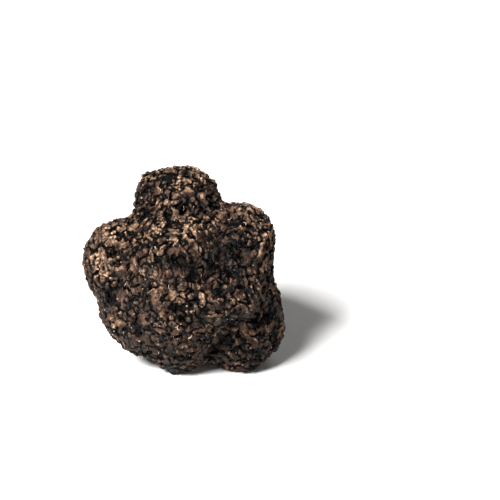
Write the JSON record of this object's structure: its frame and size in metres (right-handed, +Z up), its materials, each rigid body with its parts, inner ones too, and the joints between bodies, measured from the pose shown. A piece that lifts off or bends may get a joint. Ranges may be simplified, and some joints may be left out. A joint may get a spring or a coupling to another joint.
{
  "type": "black truffle",
  "caption": "Whole fresh black truffle, lobed and knobbly, its skin covered all over in small angular warts, resting on its lowest lobes.",
  "frame": {"origin": "on the surface that the truffle rests on, under the middle of its bounding box", "axes": "+Z up through the knob; -Y towards the viewer, the side with the two front feet; +X to the viewer's right, along the truffle's greatest width"},
  "size_m": [0.0568, 0.0478, 0.0529],
  "materials": {
    "truffle_skin": "matte"
  },
  "bodies": {
    "root": {"fruiting_body": "truffle_skin"}
  },
  "joints": []
}
